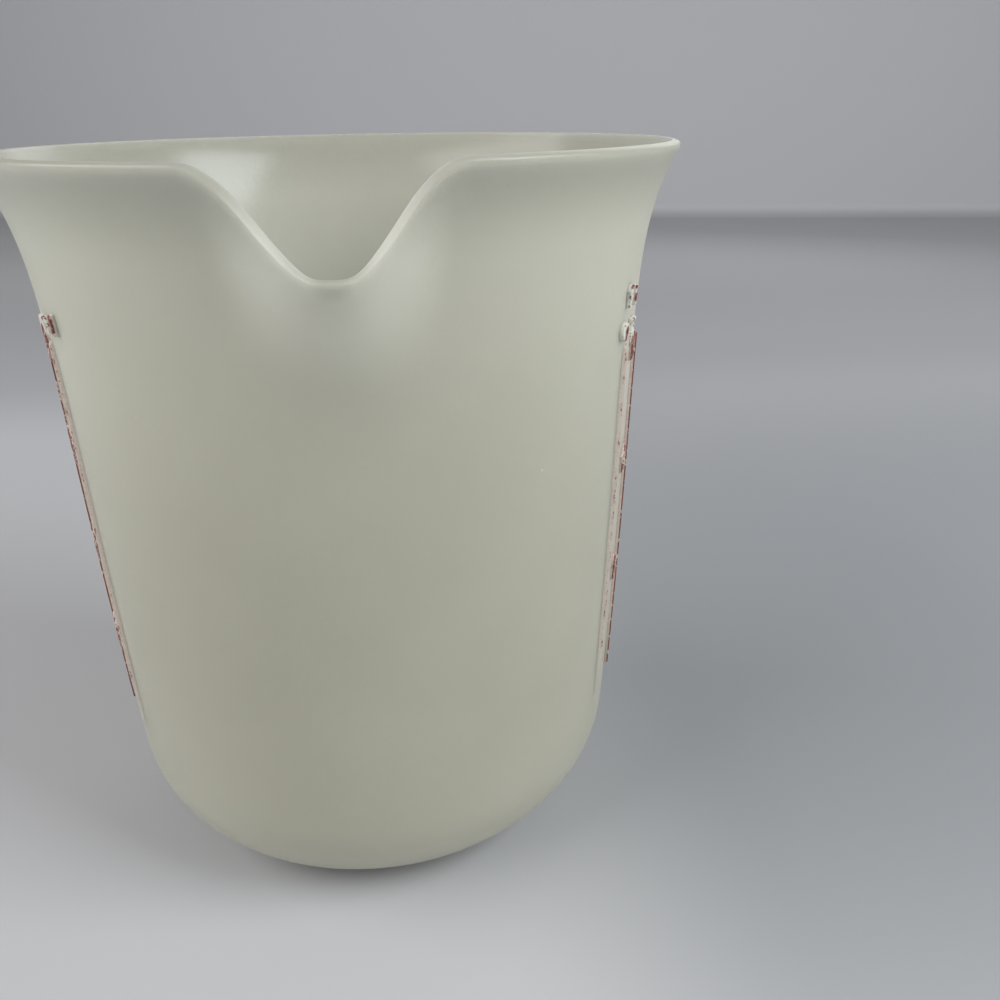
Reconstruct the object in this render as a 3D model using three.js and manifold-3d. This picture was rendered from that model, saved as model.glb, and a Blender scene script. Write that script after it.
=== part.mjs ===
// A squeezable measuring jug: one soft translucent body with a flat base, a rounded heel,
// a leaning wall, a flared rim and a V-shaped pouring lip, and raised red graduations on two sides.
// Millimetres, +Z up. The origin is the centre of the base, the lip points to -Y, the scales face -X and +X.
import * as THREE from "three";
import { mergeVertices } from "three/addons/utils/BufferGeometryUtils.js";
import Module from "manifold-3d";

// Body
const HEIGHT = 118; // table to the top of the rim
const FOOT_RADIUS = 21; // flat part of the base
const HEEL_RADIUS = 22; // round between the base and the wall
const WALL_LEAN = 4; // degrees that the wall leans out above the heel
const WALL_BOW = 2.6; // how far the wall bows back from that lean by the rim
const RIM_FLARE = 5.6; // how far the rim stands out beyond the wall
const RIM_ANGLE = 32; // degrees that the rim leans out below its edge
const RIM_EDGE_ANGLE = 14; // and at its edge, which is cut level
const RIM_ROUND = 0.5; // from each corner of that cut to where its round starts
const WALL = 1.6; // thickness of the wall and the floor

// Pouring lip
const LIP_WIDTH = 19.9; // across the V at the rim, without its rounded tip and shoulders
const LIP_DROP = 13.1; // its tip below the rim
const LIP_ROOT = 60; // height at which the V starts to draw the wall down
const LIP_FOLLOW = 0.4; // share of that drop by which the form of the wall gives way
const LIP_TIP_ROUND = 3.1; // half width of the blunt tip
const LIP_TIP_SPREAD = 8; // how much blunter the V is at its root
const LIP_SHOULDER_ROUND = 4.1; // half length of the bend at each shoulder
const SWELL_REACH = 6.1; // how far the wall swells out behind the V, in place of the flare
const SWELL_WIDTH = 31.6; // across that swelling
const SWELL_ROOT = 85; // height at which it begins
const LIP_THINNING = 0.3; // by how much the wall gets thinner towards the lip

// Graduations; their places are distances along the wall, from the middle of a side towards the lip
const MARK_SEAT = 0.1; // clearance between a mark and the wall
const MARK_RELIEF = 0.7; // face of a tick, a unit or the far rail above the wall
const NEAR_RELIEF = 0.4; // face of a number or the near rail
const STROKE = 0.7; // width of the lines of a mark
const RAIL_FAR = 9.5; // rail between the ticks and the numbers
const RAIL_BELOW = 6.8; // of the rails below the lowest tick
const RAIL_ABOVE = 1; // and above the highest one
const TICK_GAP = 0.5; // between the far rail and a tick
const TICK_LONG = 12;
const TICK_SHORT = 7;
const NUMBER_HEIGHT = 3.6;
const NUMBER_GAP = 0.5; // between the widest number and the rails on its two sides
const DIGIT_GAP = 0.75; // between the digits of a number
const UNIT_HEIGHT = 2.9;
const UNIT_GAP = 1.8; // between the rails and the rows of the unit above them
const LETTER_GAP = 1.5; // between the letters of a unit
const ML_SHIFT = 2.8; // middle of the millilitre unit beyond the rail nearer to the lip
const OZ_SHIFT = 0.4; // and of the ounce unit
const OUNCE = 29.57; // millilitres

// Fineness of the facets
const SAME_POINT = 1e-3; // points of a stroke this close are one
const MITRE_LEAST = 0.5; // a sharper bend of a stroke is cut short
const TURN_STEPS = 88;
const LIP_CROWDING = 0.7; // share by which the columns draw together at the lip
const RIM_CROWDING = 0.6; // share by which the rows draw together at the rim
const HEEL_STEPS = 8;
const WALL_STEPS = 13;
const CORNER_STEPS = 2; // around each corner of the rim
const RAIL_FACET = 5;
const TICK_FACET = 3;
const STROKE_STEPS = 8; // along each curve of a number or a letter

const SILICONE = new THREE.MeshStandardMaterial({ color: 0xd3d5c8, roughness: 0.45, metalness: 0 });
const INK = new THREE.MeshStandardMaterial({ color: 0xa3312b, roughness: 0.55, metalness: 0 });

const radians = THREE.MathUtils.degToRad;
const wasm = await Module();
wasm.setup();

// Outer wall, from the end of the heel to the edge of the rim
const lean = radians(WALL_LEAN);
const rimAngle = radians(RIM_ANGLE);
const heelTop = HEEL_RADIUS * (1 - Math.sin(lean));
const heelTopRadius = FOOT_RADIUS + HEEL_RADIUS * Math.cos(lean);
const wallTop = HEIGHT - (WALL / 2) * (1 + Math.sin(rimAngle));
const wallSpan = wallTop - heelTop;
const flareLength = RIM_FLARE / (Math.tan(rimAngle) - Math.tan(lean) + (2 * WALL_BOW) / wallSpan);

function flare(z) {
  return RIM_FLARE * Math.exp((z - wallTop) / flareLength);
}

function wallRadius(z) {
  const share = (z - heelTop) / wallSpan;
  return heelTopRadius + Math.tan(lean) * (z - heelTop) - WALL_BOW * share * share + flare(z);
}

function wallSlope(z) {
  const share = (z - heelTop) / wallSpan;
  return Math.tan(lean) - (2 * WALL_BOW * share) / wallSpan + flare(z) / flareLength;
}

const rimRadius = wallRadius(wallTop);

// Points of the profile that lie a given depth inside the outer surface, from the axis up to the rim
function skin(depth) {
  const points = [new THREE.Vector2(0, depth)];
  for (let i = 0; i <= HEEL_STEPS; i++) {
    const turn = (i / HEEL_STEPS) * (Math.PI / 2 - lean);
    const point = new THREE.Vector2(Math.sin(turn), -Math.cos(turn)).multiplyScalar(HEEL_RADIUS - depth);
    points.push(point.add(new THREE.Vector2(FOOT_RADIUS, HEEL_RADIUS)));
  }
  for (let i = 1; i <= WALL_STEPS; i++) {
    const share = i / WALL_STEPS;
    const z = heelTop + wallSpan * share * (1 + RIM_CROWDING * (1 - share));
    const normal = new THREE.Vector2(1, -wallSlope(z)).normalize();
    points.push(new THREE.Vector2(wallRadius(z), z).addScaledVector(normal, -depth));
  }
  return points;
}

const outside = skin(0);
const inside = skin(WALL);

// Curve that leaves the line to a corner RIM_ROUND before it and meets the next line as far after it
function roundCorner(before, corner, after) {
  const start = before.clone().sub(corner).setLength(RIM_ROUND).add(corner);
  const end = after.clone().sub(corner).setLength(RIM_ROUND).add(corner);
  return new THREE.QuadraticBezierCurve(start, corner, end).getPoints(CORNER_STEPS);
}

function profile() {
  const outer = outside.at(-1);
  const inner = inside.at(-1);
  const edge = Math.tan(radians(RIM_EDGE_ANGLE));
  const outerCorner = new THREE.Vector2(outer.x + (HEIGHT - outer.y) * edge, HEIGHT);
  const innerCorner = new THREE.Vector2(inner.x + (HEIGHT - inner.y) * edge, HEIGHT);
  const below = inside.filter((point) => point.y < HEIGHT - RIM_ROUND);
  return [
    ...outside,
    ...roundCorner(outer, outerCorner, innerCorner),
    ...roundCorner(outerCorner, innerCorner, below.at(-1)),
    ...below.toReversed(),
  ];
}

// Zero below -round, a straight ramp above +round and a smooth bend between
function softRamp(value, round) {
  if (value <= -round) return 0;
  if (value >= round) return value;
  return (value + round) ** 2 / (4 * round);
}

// Share of the V at a place along the wall from its middle: 1 at the tip, 0 beyond the shoulders
function lipShare(along, rise) {
  const half = LIP_WIDTH / 2;
  const round = LIP_TIP_ROUND + LIP_TIP_SPREAD * (1 - rise);
  const fromTip = (along ** 4 + round ** 4) ** 0.25 - round;
  return softRamp(half - fromTip, LIP_SHOULDER_ROUND) / half;
}

// Share of the swelling that carries the V, at a place along the wall from its middle
function swellShare(along) {
  return Math.max(0, 1 - (along / (SWELL_WIDTH / 2)) ** 2) ** 2;
}

// Where the pouring lip takes a point of the plain wall
function pullLip(radius, height, angle) {
  if (height < heelTop) return { radius, height };
  const along = Math.abs(angle) * rimRadius;
  const rise = Math.max(0, (height - LIP_ROOT) / (HEIGHT - LIP_ROOT));
  const drop = LIP_DROP * lipShare(along, rise) * rise * rise;
  const from = Math.min(height, wallTop);
  const to = from - LIP_FOLLOW * drop;
  const depth = THREE.MathUtils.clamp((wallRadius(from) - radius) / WALL, 0, 1);
  const swell = (SWELL_REACH + LIP_THINNING * depth) * THREE.MathUtils.smoothstep(to, SWELL_ROOT, HEIGHT);
  const change = wallRadius(to) - wallRadius(from) + swellShare(along) * (swell - flare(to));
  return { radius: radius + change, height: height - drop };
}

function bodyGeometry() {
  const geometry = new THREE.LatheGeometry(profile(), TURN_STEPS).rotateX(Math.PI / 2);
  const position = geometry.getAttribute("position");
  for (let i = 0; i < position.count; i++) {
    const plain = Math.hypot(position.getX(i), position.getY(i));
    const turn = Math.atan2(position.getX(i), -position.getY(i));
    const angle = turn - LIP_CROWDING * Math.sin(turn);
    const { radius, height } = pullLip(plain, position.getZ(i), angle);
    position.setXYZ(i, radius * Math.sin(angle), -radius * Math.cos(angle), height);
  }
  return geometry;
}

// Height at which the jug holds a volume in millilitres, leaving the lip out
function fillHeight(volume) {
  let rest = volume * 1000;
  for (let i = 1; i < inside.length; i++) {
    const low = inside[i - 1];
    const high = inside[i];
    const slice = (Math.PI / 3) * (high.y - low.y) * (low.x ** 2 + low.x * high.x + high.x ** 2);
    if (slice >= rest) return low.y + ((high.y - low.y) * rest) / slice;
    rest -= slice;
  }
  return inside.at(-1).y;
}

// Lays a flat mark on the wall: x runs along the wall to the reader's right, y is the height, z stands off.
function wrap(geometry, side) {
  const position = geometry.getAttribute("position");
  for (let i = 0; i < position.count; i++) {
    const angle = side.angle + position.getX(i) / side.radius;
    const height = position.getY(i);
    const radius = wallRadius(height) + MARK_SEAT + position.getZ(i);
    position.setXYZ(i, radius * Math.cos(angle), radius * Math.sin(angle), height);
  }
  return geometry;
}

function rail(height, relief, x, y, side) {
  const depth = relief - MARK_SEAT;
  const flat = new THREE.BoxGeometry(STROKE, height, depth, 1, Math.ceil(height / RAIL_FACET), 1);
  return wrap(flat.translate(x, y, depth / 2), side);
}

function tick(length, x, y, side) {
  const depth = MARK_RELIEF - MARK_SEAT;
  const flat = new THREE.BoxGeometry(length, STROKE, depth, Math.ceil(length / TICK_FACET), 1, 1);
  return wrap(flat.translate(x, y, depth / 2), side);
}

// Strokes of the numbers and letters, on a grid one unit tall
const SMALL = 0.68; // height of a letter without an upstroke
const polyline = (...points) => new THREE.Path(points.map(([x, y]) => new THREE.Vector2(x, y)));
const ring = (x, y, width, height) => new THREE.Path().absellipse(x, y, width, height, 0, 2 * Math.PI, false);
const GLYPHS = {
  0: { width: 0.56, strokes: [ring(0.28, 0.5, 0.28, 0.5)] },
  1: { width: 0.26, strokes: [polyline([0, 0.78], [0.26, 1], [0.26, 0])] },
  2: {
    width: 0.54,
    strokes: [
      new THREE.Path()
        .absellipse(0.27, 0.72, 0.27, 0.28, radians(165), radians(-35), true)
        .lineTo(0, 0)
        .lineTo(0.54, 0),
    ],
  },
  3: {
    width: 0.52,
    strokes: [
      new THREE.Path().absellipse(0.25, 0.75, 0.25, 0.25, radians(160), radians(-95), true),
      new THREE.Path().absellipse(0.25, 0.26, 0.27, 0.26, radians(95), radians(-160), true),
    ],
  },
  4: { width: 0.6, strokes: [polyline([0.44, 0], [0.44, 1]), polyline([0.44, 1], [0, 0.3], [0.6, 0.3])] },
  5: {
    width: 0.54,
    strokes: [
      polyline([0.5, 1], [0.08, 1], [0.08, 0.5]),
      new THREE.Path().absellipse(0.25, 0.31, 0.29, 0.31, radians(126), radians(-150), true),
    ],
  },
  6: {
    width: 0.56,
    strokes: [
      ring(0.28, 0.3, 0.28, 0.3),
      new THREE.Path().moveTo(0.46, 1).quadraticCurveTo(0.02, 0.78, 0, 0.3),
    ],
  },
  8: { width: 0.54, strokes: [ring(0.27, 0.27, 0.27, 0.27), ring(0.27, 0.77, 0.23, 0.23)] },
  m: {
    width: 1.2,
    strokes: [
      polyline([0, 0], [0, SMALL]),
      new THREE.Path().absellipse(0.3, SMALL - 0.25, 0.3, 0.25, Math.PI, 0, true).lineTo(0.6, 0),
      new THREE.Path().absellipse(0.9, SMALL - 0.25, 0.3, 0.25, Math.PI, 0, true).lineTo(1.2, 0),
    ],
  },
  l: { width: 0, strokes: [polyline([0, 0], [0, 1])] },
  f: {
    width: 0.42,
    strokes: [
      new THREE.Path().moveTo(0.42, 1).quadraticCurveTo(0.16, 1, 0.16, 0.74).lineTo(0.16, 0),
      polyline([0, SMALL - 0.06], [0.38, SMALL - 0.06]),
    ],
  },
  o: { width: 0.7, strokes: [ring(0.35, SMALL / 2, 0.35, SMALL / 2)] },
  z: { width: 0.6, strokes: [polyline([0, SMALL], [0.6, SMALL], [0, 0], [0.6, 0])] },
};

// Outline of a stroke of even width along a path
function ribbon(path, size) {
  const points = path.getPoints(STROKE_STEPS).map((p) => p.clone().multiplyScalar(size));
  const spaced = points.filter((p, i) => i === 0 || p.distanceTo(points[i - 1]) > SAME_POINT);
  const closed = spaced[0].distanceTo(spaced.at(-1)) < SAME_POINT;
  if (closed) spaced.pop();
  const count = spaced.length;
  const rims = [[], []];
  spaced.forEach((point, i) => {
    const before = spaced[closed ? (i + count - 1) % count : Math.max(i - 1, 0)];
    const after = spaced[closed ? (i + 1) % count : Math.min(i + 1, count - 1)];
    const into = (before === point ? after.clone().sub(point) : point.clone().sub(before)).normalize();
    const out = (after === point ? point.clone().sub(before) : after.clone().sub(point)).normalize();
    const across = new THREE.Vector2(-into.y - out.y, into.x + out.x).normalize();
    const mitre = Math.max(MITRE_LEAST, across.dot(new THREE.Vector2(-into.y, into.x)));
    rims[0].push(point.clone().addScaledVector(across, STROKE / 2 / mitre));
    rims[1].push(point.clone().addScaledVector(across, -STROKE / 2 / mitre));
  });
  if (!closed) return new THREE.Shape([...rims[0], ...rims[1].reverse()]);
  const shape = new THREE.Shape(rims[1]);
  shape.holes.push(new THREE.Path(rims[0]));
  return shape;
}

function solid(geometry) {
  const bare = geometry.clone();
  bare.deleteAttribute("normal");
  bare.deleteAttribute("uv");
  const merged = mergeVertices(bare, SAME_POINT / 10);
  const vertProperties = merged.getAttribute("position").array;
  const triVerts = new Uint32Array(merged.index.array);
  return new wasm.Manifold(new wasm.Mesh({ numProp: 3, vertProperties, triVerts }));
}

function geometryOf(manifold) {
  const mesh = manifold.getMesh();
  const geometry = new THREE.BufferGeometry();
  geometry.setAttribute("position", new THREE.BufferAttribute(mesh.vertProperties, 3));
  geometry.setIndex(new THREE.BufferAttribute(mesh.triVerts, 1));
  return geometry;
}

function letter(name, { size, relief }, x, y, side) {
  const depth = relief - MARK_SEAT;
  const strokes = GLYPHS[name].strokes.map((path) => {
    return solid(new THREE.ExtrudeGeometry(ribbon(path, size), { depth, bevelEnabled: false }));
  });
  const joined = geometryOf(strokes.reduce((whole, stroke) => whole.add(stroke)));
  return wrap(joined.translate(x, y, 0), side);
}

const jug = new THREE.Group();

function add(name, geometry, material) {
  const mesh = new THREE.Mesh(geometry, material);
  mesh.name = name;
  jug.add(mesh);
}

const NUMBERS = { size: NUMBER_HEIGHT, gap: DIGIT_GAP, relief: NEAR_RELIEF };
const UNITS = { size: UNIT_HEIGHT, gap: LETTER_GAP, relief: MARK_RELIEF };

const letterWidth = (name, { size }) => GLYPHS[name].width * size + STROKE;

function wordWidth(word, style) {
  return [...word].reduce((sum, name) => sum + letterWidth(name, style) + style.gap, -style.gap);
}

// A row of letters centred on x, with their feet at y
function addWord(prefix, word, style, x, y, side) {
  let left = x - wordWidth(word, style) / 2 + STROKE / 2;
  [...word].forEach((name, i) => {
    add(`${prefix}_${i + 1}`, letter(name, style, left, y, side), INK);
    left += letterWidth(name, style) + style.gap;
  });
}

// The rows of a unit are listed from the lowest one up
const SCALES = [
  {
    unit: ["ml"],
    shift: ML_SHIFT,
    volume: 1,
    first: 150,
    last: 500,
    step: 50,
    label: 100,
    angle: Math.PI,
    lipward: 1,
  },
  {
    unit: ["oz", "fl"],
    shift: OZ_SHIFT,
    volume: OUNCE,
    first: 5,
    last: 16,
    step: 1,
    label: 4,
    angle: 0,
    lipward: -1,
  },
];

function levels({ first, last, step }) {
  return Array.from({ length: (last - first) / step + 1 }, (_, i) => first + i * step);
}

// The two rails of a scale stand clear of its widest number
const numbers = SCALES.flatMap((scale) => levels(scale).filter((count) => count % scale.label === 0));
const widest = Math.max(...numbers.map((count) => wordWidth(`${count}`, NUMBERS)));
const railNear = RAIL_FAR + STROKE + widest + 2 * NUMBER_GAP;
const numberPlace = (RAIL_FAR + railNear) / 2;
const railBottom = Math.min(...SCALES.map((scale) => fillHeight(scale.first * scale.volume))) - RAIL_BELOW;
const rowRise = SMALL * UNIT_HEIGHT + STROKE + UNIT_GAP;

// A scale: two rails, a tick for each step, a number at each labelled step and the unit on top
function addScale(scale) {
  const { unit, shift, volume, last, label, angle, lipward } = scale;
  const railTop = fillHeight(last * volume) + RAIL_ABOVE;
  const railMiddle = (railBottom + railTop) / 2;
  const side = { angle, radius: wallRadius(railMiddle) };
  const name = unit[0];
  const railHeight = railTop - railBottom;
  add(`${name}_rail_1`, rail(railHeight, MARK_RELIEF, lipward * RAIL_FAR, railMiddle, side), INK);
  add(`${name}_rail_2`, rail(railHeight, NEAR_RELIEF, lipward * railNear, railMiddle, side), INK);
  for (const count of levels(scale)) {
    const labelled = count % label === 0;
    const length = labelled ? TICK_LONG : TICK_SHORT;
    const place = RAIL_FAR - STROKE / 2 - TICK_GAP - length / 2;
    const height = fillHeight(count * volume);
    add(`${name}_tick_${count}`, tick(length, lipward * place, height, side), INK);
    if (!labelled) continue;
    const foot = height - NUMBER_HEIGHT / 2;
    const number = `${name}_number_${count}`;
    addWord(number, `${count}`, NUMBERS, lipward * numberPlace, foot, side);
  }
  unit.forEach((row, i) => {
    const foot = railTop + UNIT_GAP + STROKE / 2 + i * rowRise;
    const place = lipward * (railNear + shift);
    addWord(`${name}_unit_${row}`, row, UNITS, place, foot, side);
  });
}

add("jug_body", bodyGeometry(), SILICONE);
SCALES.forEach(addScale);

export default jug;
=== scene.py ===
import math

import bpy
from mathutils import Matrix, Vector


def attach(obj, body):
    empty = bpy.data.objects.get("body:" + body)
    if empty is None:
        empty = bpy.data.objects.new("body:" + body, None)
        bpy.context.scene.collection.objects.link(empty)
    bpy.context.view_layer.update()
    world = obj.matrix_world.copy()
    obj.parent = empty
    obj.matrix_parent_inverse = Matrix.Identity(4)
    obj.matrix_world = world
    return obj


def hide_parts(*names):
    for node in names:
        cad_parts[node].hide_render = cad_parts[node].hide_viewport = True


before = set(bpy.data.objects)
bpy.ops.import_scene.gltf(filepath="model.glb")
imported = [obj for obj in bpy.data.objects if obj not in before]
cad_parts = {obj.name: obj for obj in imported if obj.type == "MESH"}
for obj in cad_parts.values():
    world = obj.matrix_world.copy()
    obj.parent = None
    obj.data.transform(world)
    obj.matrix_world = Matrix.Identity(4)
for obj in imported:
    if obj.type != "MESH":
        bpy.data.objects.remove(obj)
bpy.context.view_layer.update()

MM = 0.001

# Form of the body, in the same sizes as its solid
HEIGHT = 118 * MM
FOOT_RADIUS = 21 * MM
HEEL_RADIUS = 22 * MM
WALL_LEAN = math.radians(4)
WALL_BOW = 2.6 * MM
RIM_FLARE = 5.6 * MM
RIM_ANGLE = math.radians(32)
RIM_EDGE_ANGLE = math.radians(14)
RIM_ROUND = 0.5 * MM
WALL = 1.6 * MM
LIP_WIDTH = 19.9 * MM
LIP_DROP = 13.1 * MM
LIP_ROOT = 60 * MM
LIP_FOLLOW = 0.4
LIP_TIP_ROUND = 3.1 * MM
LIP_TIP_SPREAD = 8 * MM
LIP_SHOULDER_ROUND = 4.1 * MM
SWELL_REACH = 6.1 * MM
SWELL_WIDTH = 31.6 * MM
SWELL_ROOT = 85 * MM
LIP_THINNING = 0.3 * MM

# Softer edges of the body than its solid has
RIM_SLOPE = 0.5 * MM  # fall of the rim's cut from the inner skin to the outer one
LIP_EDGE_SLOPE = 1.25 * MM  # the same on the flanks of the lip
LIP_EDGE_DEPTH = 3 * MM  # height over which the wall gives way to it

# Form of the raised marks, in the same sizes as their solids
MARK_SEAT = 0.1 * MM
MARK_RELIEF = 0.7 * MM
NEAR_RELIEF = 0.4 * MM

# Softer edges of the marks than their solids have
MARK_ROOT = 0.3 * MM  # depth of a mark's root below its seat
MARK_ROUND = 0.14 * MM
MARK_SPREAD = 0.3 * MM  # how much wider a mark is at its root, on each side
NEAR_SPREAD = 1.3 * MM  # the same on the rail nearer to the lip
NEAR_RUN_OUT = 9 * MM  # length over which that rail runs out into the wall at its lower end
SHARP_EDGE = math.radians(20)
SMOOTH_EDGE = math.radians(50)

# Fineness of the body's mesh before it is subdivided
COLUMNS = 96
LIP_CROWDING = 0.7
RIM_CROWDING = 0.6
FOOT_STEPS = 4
HEEL_STEPS = 10
WALL_STEPS = 24
CORNER_STEPS = 4
POLE_RADIUS = 1 * MM

# Finish of the jug, and places on it that the finish follows
SILICONE_IOR = 1.41
LIP_TIP = (0, -52.5 * MM, HEIGHT - LIP_DROP)
WAIST_RADIUS = 44.6 * MM

# Studio
SWEEP_SIZE = (6, 3.4)
SWEEP_BACK = 1.02
SWEEP_RISE = 2.2
SWEEP_BEND = 15 * MM
SWEEP_TURN = math.radians(-14.8)
LAMP_AIM = Vector((0, 0, HEIGHT / 2))
LAMP_DISTANCE = 0.8
ROOM_LIGHT = 0.25
CAMERA_PLACE = (6.62 * MM, -166.96 * MM, 123.29 * MM)
CAMERA_YAW = math.radians(6.05)
CAMERA_PITCH = math.radians(21.86)
CAMERA_ROLL = math.radians(-0.95)
SENSOR = 36  # millimetres, as a camera takes it
LENS = 0.99 * SENSOR

HEEL_TOP = HEEL_RADIUS * (1 - math.sin(WALL_LEAN))
HEEL_TOP_RADIUS = FOOT_RADIUS + HEEL_RADIUS * math.cos(WALL_LEAN)
WALL_TOP = HEIGHT - WALL / 2 * (1 + math.sin(RIM_ANGLE))
WALL_SPAN = WALL_TOP - HEEL_TOP
FLARE_LENGTH = RIM_FLARE / (math.tan(RIM_ANGLE) - math.tan(WALL_LEAN) + 2 * WALL_BOW / WALL_SPAN)


def flare(z):
    return RIM_FLARE * math.exp((z - WALL_TOP) / FLARE_LENGTH)


def wall_radius(z):
    share = (z - HEEL_TOP) / WALL_SPAN
    return HEEL_TOP_RADIUS + math.tan(WALL_LEAN) * (z - HEEL_TOP) - WALL_BOW * share**2 + flare(z)


def wall_slope(z):
    share = (z - HEEL_TOP) / WALL_SPAN
    return math.tan(WALL_LEAN) - 2 * WALL_BOW * share / WALL_SPAN + flare(z) / FLARE_LENGTH


RIM_RADIUS = wall_radius(WALL_TOP)


def skin_rings(depth):
    """(radius, height) of the rings at a depth below the outer surface, from the pole up to the rim."""
    rings = []
    for i in range(FOOT_STEPS):
        rings.append((POLE_RADIUS + (FOOT_RADIUS - POLE_RADIUS) * i / FOOT_STEPS, depth))
    for i in range(HEEL_STEPS + 1):
        turn = i / HEEL_STEPS * (math.pi / 2 - WALL_LEAN)
        radius = HEEL_RADIUS - depth
        rings.append((FOOT_RADIUS + radius * math.sin(turn), HEEL_RADIUS - radius * math.cos(turn)))
    for i in range(1, WALL_STEPS + 1):
        share = i / WALL_STEPS
        z = HEEL_TOP + WALL_SPAN * share * (1 + RIM_CROWDING * (1 - share))
        slope = wall_slope(z)
        length = math.hypot(1, slope)
        rings.append((wall_radius(z) - depth / length, z + depth * slope / length))
    return rings


def round_corner(before, corner, after):
    """Points of a curve around a corner, from RIM_ROUND before it to RIM_ROUND after it."""
    start = corner + (before - corner).normalized() * RIM_ROUND
    end = corner + (after - corner).normalized() * RIM_ROUND
    shares = [i / CORNER_STEPS for i in range(CORNER_STEPS + 1)]
    return [start * (1 - s) ** 2 + corner * 2 * s * (1 - s) + end * s**2 for s in shares]


def rim_rings(outer, inner):
    """Rings of the cut across the rim, which slopes down a little from the inner skin to the outer one."""
    outer, inner = Vector(outer), Vector(inner)
    lean = math.tan(RIM_EDGE_ANGLE)
    low = HEIGHT - RIM_SLOPE
    outer_corner = Vector((outer.x + (low - outer.y) * lean, low))
    inner_corner = Vector((inner.x + (HEIGHT - inner.y) * lean, HEIGHT))
    rings = round_corner(outer, outer_corner, inner_corner)
    rings += round_corner(outer_corner, inner_corner, inner)
    return [tuple(ring) for ring in rings]


def clamp(value):
    return max(0, min(1, value))


def smooth_step(value, low, high):
    share = clamp((value - low) / (high - low))
    return share * share * (3 - 2 * share)


def soft_ramp(value, soft):
    """0 for negative values and the value itself for positive ones, with a soft bend between them."""
    if value <= -soft:
        return 0
    if value >= soft:
        return value
    return (value + soft) ** 2 / (4 * soft)


def lip_share(along, rise):
    """1 at the tip of the pouring lip, 0 beyond its shoulders."""
    half = LIP_WIDTH / 2
    blunt = LIP_TIP_ROUND + LIP_TIP_SPREAD * (1 - rise)
    from_tip = (along**4 + blunt**4) ** 0.25 - blunt
    return soft_ramp(half - from_tip, LIP_SHOULDER_ROUND) / half


def swell_share(along):
    return max(0, 1 - (along / (SWELL_WIDTH / 2)) ** 2) ** 2


def outward_from_axis(point):
    return Vector((point.x, point.y, 0)).normalized()


def apply_all(piece):
    bpy.context.view_layer.objects.active = piece
    for modifier in list(piece.modifiers):
        bpy.ops.object.modifier_apply(modifier=modifier.name)


def paint(mesh, name, values):
    """Keeps a value at each point of a mesh, for its finish to read."""
    painted = mesh.attributes.new(name, "FLOAT", "POINT")
    for point, value in zip(painted.data, values):
        point.value = value


def extrude_body():
    """The foot disc is extruded up the outside, over the rim and down the inside to the floor."""
    outside = skin_rings(0)
    inside = skin_rings(WALL)
    below_rim = [ring for ring in inside if ring[1] < HEIGHT - RIM_ROUND]
    rings = outside + rim_rings(outside[-1], inside[-1]) + below_rim[::-1]
    bpy.ops.object.select_all(action="DESELECT")
    bpy.ops.mesh.primitive_circle_add(vertices=COLUMNS, radius=rings[0][0], fill_type="NGON")
    body = bpy.context.object
    body.name = body.data.name = "silicone_body"
    bpy.ops.object.mode_set(mode="EDIT")
    bpy.ops.mesh.select_mode(type="FACE")
    bpy.ops.mesh.select_all(action="SELECT")
    for (radius, z), (next_radius, next_z) in zip(rings, rings[1:]):
        bpy.ops.mesh.extrude_region_move(TRANSFORM_OT_translate={"value": (0, 0, next_z - z)})
        grow = next_radius / radius
        bpy.ops.transform.resize(value=(grow, grow, 1), center_override=(0, 0, next_z))
    bpy.ops.mesh.select_all(action="SELECT")
    bpy.ops.mesh.normals_make_consistent(inside=False)
    bpy.ops.object.mode_set(mode="OBJECT")
    finer = body.modifiers.new("finer", "SUBSURF")
    finer.levels = finer.render_levels = 1
    apply_all(body)
    return body


def inner_share(vertex):
    """1 on the inner wall and floor of the body, 0 on the rim and outside."""
    upward = vertex.normal.z if vertex.co.z < HEEL_TOP else 0
    return smooth_step(vertex.normal.dot(outward_from_axis(vertex.co)) - upward, -0.2, -0.6)


def pull_lip(mesh):
    """Draws the columns together at the front and pulls the pouring lip out of the wall."""
    for vertex in mesh.vertices:
        x, y, z = vertex.co
        turn = math.atan2(x, -y)
        angle = turn - LIP_CROWDING * math.sin(turn)
        along = abs(angle) * RIM_RADIUS
        rise = max(0, (z - LIP_ROOT) / (HEIGHT - LIP_ROOT))
        share = lip_share(along, rise)
        drop = LIP_DROP * share * rise**2
        reach = math.hypot(x, y)
        if z > HEEL_TOP:
            start = min(z, WALL_TOP)
            end = start - LIP_FOLLOW * drop
            depth = clamp((wall_radius(start) - reach) / WALL)
            flank = 4 * share * (1 - share) * smooth_step(z, HEIGHT - LIP_EDGE_DEPTH, HEIGHT)
            drop += LIP_EDGE_SLOPE * max(0, flank) * (1 - depth)
            swell = (SWELL_REACH + LIP_THINNING * depth) * smooth_step(end, SWELL_ROOT, HEIGHT)
            reach += wall_radius(end) - wall_radius(start) + swell_share(along) * (swell - flare(end))
        vertex.co = (reach * math.sin(angle), -reach * math.cos(angle), z - drop)


def raise_body():
    body = extrude_body()
    paint(body.data, "inner_share", [inner_share(vertex) for vertex in body.data.vertices])
    pull_lip(body.data)
    bpy.ops.object.shade_smooth()
    return body


def copy_mark(node):
    """A copy of a mark's solid with its triangles merged."""
    bpy.ops.object.select_all(action="DESELECT")
    mark = bpy.data.objects.new("raised_" + node.name, node.data.copy())
    bpy.context.collection.objects.link(mark)
    mark.data.name = mark.name
    mark.data.materials.clear()
    mark.select_set(True)
    bpy.context.view_layer.objects.active = mark
    bpy.ops.object.mode_set(mode="EDIT")
    bpy.ops.mesh.select_all(action="SELECT")
    bpy.ops.mesh.remove_doubles(threshold=1e-6)
    bpy.ops.object.mode_set(mode="OBJECT")
    return mark


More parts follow.
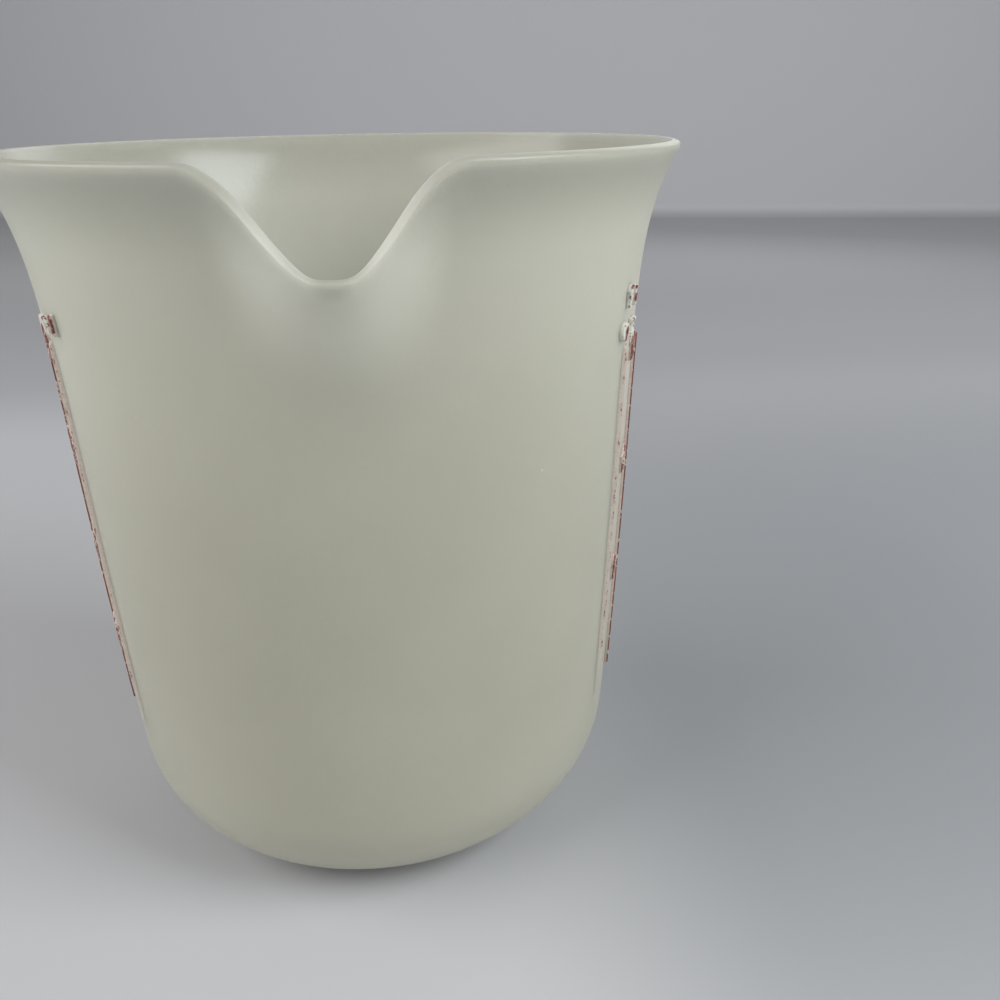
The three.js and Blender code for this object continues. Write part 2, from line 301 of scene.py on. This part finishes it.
def face_share(point, relief):
    """0 on the wall, 1 on the face of a mark of a relief."""
    off_wall = math.hypot(point.x, point.y) - wall_radius(point.z)
    return clamp((off_wall - MARK_SEAT) / (relief - MARK_SEAT))


def raise_mark(node):
    """A mark with soft edges, sloping sides and its root in the wall."""
    mark = copy_mark(node)
    vertices = mark.data.vertices
    near_rail = node.name.endswith("rail_2")
    relief = NEAR_RELIEF if near_rail or "number" in node.name else MARK_RELIEF
    spread = NEAR_SPREAD if near_rail else MARK_SPREAD
    bottom = min(vertex.co.z for vertex in vertices)
    normals = [vertex.normal.copy() for vertex in vertices]
    for vertex, normal in zip(vertices, normals):
        outward = outward_from_axis(vertex.co)
        if face_share(vertex.co, relief) < 0.5:
            aside = (normal - normal.dot(outward) * outward).normalized()
            vertex.co += spread * aside - MARK_ROOT * outward
        elif near_rail:
            vertex.co -= relief * smooth_step(vertex.co.z, bottom + NEAR_RUN_OUT, bottom) * outward
    soft = mark.modifiers.new("soft edges", "BEVEL")
    soft.width = MARK_ROUND
    soft.segments = 2
    soft.limit_method = "ANGLE"
    soft.angle_limit = SHARP_EDGE
    apply_all(mark)
    paint(mark.data, "print_share", [face_share(vertex.co, relief) for vertex in mark.data.vertices])
    bpy.ops.object.shade_smooth_by_angle(angle=SMOOTH_EDGE)
    return mark


class Signal:
    """A value in a finish; arithmetic on signals adds Math nodes to the finish."""

    def __init__(self, finish, socket):
        self.finish = finish
        self.socket = socket

    def math(self, operation, *values):
        node = self.finish.add("ShaderNodeMath", {"operation": operation}, dict(enumerate(values)))
        return Signal(self.finish, node.outputs[0])

    def __add__(self, other):
        return self.math("ADD", self, other)

    def __radd__(self, other):
        return self.math("ADD", other, self)

    def __sub__(self, other):
        return self.math("SUBTRACT", self, other)

    def __rsub__(self, other):
        return self.math("SUBTRACT", other, self)

    def __mul__(self, other):
        return self.math("MULTIPLY", self, other)

    def __rmul__(self, other):
        return self.math("MULTIPLY", other, self)

    def __abs__(self):
        return self.math("ABSOLUTE", self)

    def rises(self, low, high):
        """0 below low, 1 above high, smooth between."""
        node = self.finish.add(
            "ShaderNodeMapRange",
            {"interpolation_type": "SMOOTHSTEP"},
            {"Value": self, "From Min": low, "From Max": high},
        )
        return Signal(self.finish, node.outputs[0])

    def falls(self, low, high):
        return 1 - self.rises(low, high)


class Finish:
    """A procedural material on Object coordinates."""

    def __init__(self, name):
        self.material = bpy.data.materials.new(name)
        self.material.use_nodes = True
        self.tree = self.material.node_tree
        self.tree.nodes.clear()
        self.place = self.add("ShaderNodeTexCoord").outputs["Object"]

    def add(self, kind, settings=None, sockets=None):
        node = self.tree.nodes.new(kind)
        for name, value in (settings or {}).items():
            setattr(node, name, value)
        for name, value in (sockets or {}).items():
            socket = value.socket if isinstance(value, Signal) else value
            if isinstance(socket, bpy.types.NodeSocket):
                self.tree.links.new(socket, node.inputs[name])
            else:
                node.inputs[name].default_value = socket
        return node

    def axes(self):
        outputs = self.add("ShaderNodeSeparateXYZ", sockets={"Vector": self.place}).outputs
        return [Signal(self, output) for output in outputs]

    def painted(self, name):
        """A value that the mesh holds at its points."""
        return Signal(self, self.add("ShaderNodeAttribute", {"attribute_name": name}).outputs["Fac"])

    def noise(self, size, detail, roughness):
        """Cloudy noise from 0 to 1 with clouds of about a size in metres."""
        sockets = {"Vector": self.place, "Scale": 1 / size, "Detail": detail, "Roughness": roughness}
        return Signal(self, self.add("ShaderNodeTexNoise", sockets=sockets).outputs["Fac"])

    def specks(self, spacing, radius, share):
        """1 in small round specks, in a share of the cells of a spacing."""
        cells = self.add("ShaderNodeTexVoronoi", sockets={"Vector": self.place, "Scale": 1 / spacing})
        chance = self.add("ShaderNodeSeparateColor", sockets={"Color": cells.outputs["Color"]})
        near = Signal(self, cells.outputs["Distance"]).falls(0.4 * radius / spacing, radius / spacing)
        return near * Signal(self, chance.outputs[0]).rises(1 - share, 1 - 0.9 * share)

    def near(self, point, inner, outer):
        """1 within the inner distance of a point, 0 beyond the outer one."""
        apart = self.add("ShaderNodeVectorMath", {"operation": "DISTANCE"}, {0: self.place, 1: point})
        return Signal(self, apart.outputs["Value"]).falls(inner, outer)

    def mix(self, share, first, second):
        """A colour that goes from the first to the second as share goes from 0 to 1."""
        node = self.add("ShaderNodeMix", {"data_type": "RGBA"}, {0: share, 6: first, 7: second})
        return node.outputs[2]

    def bump(self, height, distance):
        return self.add("ShaderNodeBump", sockets={"Height": height, "Distance": distance}).outputs["Normal"]

    def surface(self, **values):
        """The material's surface; each value is named for its socket, in small letters."""
        sockets = {}
        for name, value in values.items():
            sockets[name.replace("_", " ").title().replace("Ior", "IOR")] = value
        shader = self.add("ShaderNodeBsdfPrincipled", sockets=sockets)
        self.add("ShaderNodeOutputMaterial", sockets={"Surface": shader.outputs[0]})
        return self.material


def colour(red, green, blue):
    """A colour as it is read off a screen, 0 to 255, made linear."""
    shares = [channel / 255 for channel in (red, green, blue)]
    return [s / 12.92 if s <= 0.04045 else ((s + 0.055) / 1.055) ** 2.4 for s in shares] + [1]


def beside_scales(finish):
    """1 on the two strips of wall that carry the marks."""
    x, y, z = finish.axes()
    across = WAIST_RADIUS * y.math("ARCTAN2", 0 - y, abs(x))
    width = across.rises(-18 * MM, 4 * MM) * across.falls(20.5 * MM, 22 * MM)
    return width * z.rises(22 * MM, 45 * MM) * z.falls(92 * MM, 102 * MM)


def milky_silicone():
    finish = Finish("milky_silicone")
    _, _, z = finish.axes()
    inner = finish.painted("inner_share")
    cloud = finish.noise(45 * MM, 3, 0.55)
    grain = finish.noise(0.9 * MM, 3, 0.6)
    lint = finish.specks(9 * MM, 0.35 * MM, 0.35)
    stain = beside_scales(finish) * (1 - inner) * (0.35 + 0.4 * cloud)
    painted_lip_glow = finish.near(LIP_TIP, 7 * MM, 17 * MM) * (1 - 0.7 * finish.near(LIP_TIP, 1.5 * MM, 7 * MM))
    lip_edge_shade = finish.near(LIP_TIP, 1 * MM, 3.2 * MM)
    flared_wall_shade = z.rises(HEIGHT - 13 * MM, HEIGHT - 2 * MM)
    rim_edge_shade = z.rises(HEIGHT - 1.3 * MM, HEIGHT - 0.5 * MM)
    deep_inside_glow = inner * z.falls(5 * MM, 70 * MM)
    milk = finish.mix(cloud.rises(0.3, 0.7), colour(182, 180, 163), colour(188, 186, 169))
    milk = finish.mix(stain, milk, colour(205, 190, 178))
    # Painted light: a paler band around the lip's tip stands for light shining through the thin lip.
    milk = finish.mix(0.5 * painted_lip_glow, milk, colour(206, 205, 189))
    # Painted shade: the lip's edge right at its tip is darkened to dim its light edge line.
    milk = finish.mix(0.75 * lip_edge_shade, milk, colour(161, 160, 144))
    # Painted shade: the flared wall below the rim is darkened to hold back the light that comes through it.
    milk = finish.mix(0.9 * flared_wall_shade, milk, colour(162, 159, 143))
    # Painted shade: a darker line along the rim's cut dims its lit top.
    milk = finish.mix(0.5 * rim_edge_shade, milk, colour(151, 148, 133))
    # Painted light: the lower inside wall and floor are paler, standing for light that comes in through the
    # translucent walls.
    milk = finish.mix(deep_inside_glow, milk, colour(232, 232, 220))
    milk = finish.mix(0.5 * lint, milk, colour(215, 215, 205))
    return finish.surface(
        base_color=milk,
        roughness=0.3 + 0.08 * grain - 0.13 * inner,
        ior=SILICONE_IOR,
        subsurface_weight=1.0,
        subsurface_radius=(1.0, 1.08, 1.2),
        subsurface_scale=8 * MM,
        normal=finish.bump(grain + 2 * lint, 0.03 * MM),
    )


def worn_red_ink(name, ink_left, bare):
    """Ink on the faces of marks, of which a share is left; the bare parts go from one colour to another."""
    finish = Finish(name)
    _, _, z = finish.axes()
    face = finish.painted("print_share").rises(0.55, 0.75)
    patches = finish.noise(1.6 * MM, 3, 0.6)
    crumbs = finish.noise(0.5 * MM, 2, 0.6)
    rubbed = 0.63 - 0.25 * ink_left
    inked = face * (0.6 * patches + 0.4 * crumbs).rises(rubbed, rubbed + 0.06)
    paste = finish.mix(crumbs.rises(0.4, 0.6), *bare)
    paste = finish.mix(z.falls(25 * MM, 40 * MM), paste, colour(189, 185, 171))
    red = finish.mix(patches.rises(0.4, 0.7), colour(84, 36, 33), colour(132, 68, 60))
    return finish.surface(
        base_color=finish.mix(inked, paste, red),
        roughness=0.6 - 0.1 * inked,
        ior=SILICONE_IOR,
        subsurface_weight=1.0,
        subsurface_radius=(1.0, 0.9, 0.8),
        subsurface_scale=1.2 * MM,
        normal=finish.bump(crumbs, 0.06 * MM),
    )


def pale_cloth():
    finish = Finish("pale_cloth")
    x, y, z = finish.axes()
    fold_shade = finish.noise(250 * MM, 2, 0.5)
    jug_shadow_right = x.rises(15 * MM, 70 * MM) * y.rises(-160 * MM, -20 * MM) * y.falls(110 * MM, 400 * MM)
    shade_behind_jug = y.rises(220 * MM, 330 * MM) * y.falls(450 * MM, 750 * MM)
    backdrop = z.rises(2 * MM, 12 * MM)
    # Painted shade: faint cloudy shading of folds in the cloth.
    shade = finish.mix(fold_shade, colour(185, 185, 188), colour(196, 196, 198))
    # Painted shadow: the jug's shadow darkens the floor to its right.
    shade = finish.mix(jug_shadow_right, shade, colour(162, 163, 166))
    # Painted shade: a darker band of floor behind the jug.
    shade = finish.mix(0.7 * shade_behind_jug, shade, colour(168, 168, 171))
    shade = finish.mix(backdrop, shade, colour(216, 216, 219))
    return finish.surface(base_color=shade, roughness=0.9, specular_ior_level=0.2)


def lay_sweep():
    """Floor and backdrop in one sheet."""
    bpy.ops.object.select_all(action="DESELECT")
    bpy.ops.mesh.primitive_plane_add(size=1)
    sweep = bpy.context.object
    sweep.name = "studio_sweep"
    bpy.ops.object.mode_set(mode="EDIT")
    bpy.ops.mesh.select_mode(type="EDGE")
    bpy.ops.transform.resize(value=(*SWEEP_SIZE, 1))
    bpy.ops.transform.translate(value=(0, SWEEP_BACK - SWEEP_SIZE[1] / 2, 0))
    bpy.ops.mesh.select_all(action="DESELECT")
    bpy.ops.object.mode_set(mode="OBJECT")
    for edge in sweep.data.edges:
        edge.select = all(sweep.data.vertices[i].co.y > 0 for i in edge.vertices)
    bpy.ops.object.mode_set(mode="EDIT")
    bpy.ops.mesh.extrude_region_move(TRANSFORM_OT_translate={"value": (0, 0, SWEEP_RISE)})
    bpy.ops.object.mode_set(mode="OBJECT")
    bend = sweep.modifiers.new("bend", "BEVEL")
    bend.width = SWEEP_BEND
    bend.segments = 8
    apply_all(sweep)
    sweep.data.transform(Matrix.Rotation(SWEEP_TURN, 4, "Z"))
    bpy.ops.object.shade_smooth()
    sweep.data.materials.append(pale_cloth())


def hang_lamp(name, around, above, size, power, tint=(1, 1, 1)):
    """A soft box that faces the jug, at an angle around it from +X and an angle above the floor."""
    around, above = math.radians(around), math.radians(above)
    lamp = bpy.data.lights.new(name, "AREA")
    lamp.shape = "RECTANGLE"
    lamp.size, lamp.size_y = size
    lamp.energy = power
    lamp.color = tint
    holder = bpy.data.objects.new(name, lamp)
    bpy.context.collection.objects.link(holder)
    way = Vector((math.cos(around) * math.cos(above), math.sin(around) * math.cos(above), math.sin(above)))
    holder.location = LAMP_AIM + LAMP_DISTANCE * way
    holder.rotation_euler = (-way).to_track_quat("-Z", "Y").to_euler()
    holder.visible_camera = False


def set_world():
    world = bpy.data.worlds.new("room")
    world.use_nodes = True
    background = world.node_tree.nodes["Background"]
    background.inputs["Color"].default_value = (1, 1, 1, 1)
    background.inputs["Strength"].default_value = ROOM_LIGHT
    bpy.context.scene.world = world


def set_camera():
    """The photograph's view: a little above the rim, in front of the lip, turned to the right of the jug."""
    camera = bpy.data.cameras.new("camera")
    camera.sensor_width = SENSOR
    camera.lens = LENS
    camera.clip_start = 10 * MM
    holder = bpy.data.objects.new("camera", camera)
    bpy.context.collection.objects.link(holder)
    yaw = Matrix.Rotation(-CAMERA_YAW, 4, "Z")
    pitch = Matrix.Rotation(math.pi / 2 - CAMERA_PITCH, 4, "X")
    roll = Matrix.Rotation(CAMERA_ROLL, 4, "Z")
    holder.matrix_world = Matrix.Translation(CAMERA_PLACE) @ yaw @ pitch @ roll
    bpy.context.scene.camera = holder


body = raise_body()
body.data.materials.append(milky_silicone())
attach(body, "root")
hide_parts("jug_body")

pink_paste = colour(198, 180, 168), colour(208, 197, 185)
dull_paste = colour(187, 174, 161), colour(197, 186, 173)
# The unit marks' bare silicone is whiter: partly its own colour, partly a painted highlight on edges that
# catch the light and painted light on their shaded sides.
white_paste_and_glint = colour(208, 206, 195), colour(220, 219, 209)
full_ink = worn_red_ink("worn_red_ink", ink_left=0.9, bare=pink_paste)
number_ink = worn_red_ink("worn_number_ink", ink_left=0.8, bare=pink_paste)
rail_ink = worn_red_ink("rubbed_rail_ink", ink_left=0.35, bare=dull_paste)
unit_ink = worn_red_ink("rubbed_unit_ink", ink_left=0.55, bare=white_paste_and_glint)


def ink_of(name):
    if name.endswith("rail_2"):
        return rail_ink
    if "unit" in name:
        return unit_ink
    return number_ink if "number" in name else full_ink


for name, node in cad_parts.items():
    if name == "jug_body":
        continue
    mark = raise_mark(node)
    mark.data.materials.append(ink_of(name))
    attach(mark, "root")
    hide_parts(name)

lay_sweep()
hang_lamp("left_window", around=194, above=35, size=(0.85, 0.45), power=4.42)
hang_lamp("right_window", around=330, above=35, size=(0.45, 0.45), power=4.68, tint=(0.95, 1, 1.02))
hang_lamp("back_light", around=60, above=22, size=(0.45, 0.3), power=0.5)
set_world()
set_camera()
bpy.context.scene.view_settings.view_transform = "Standard"
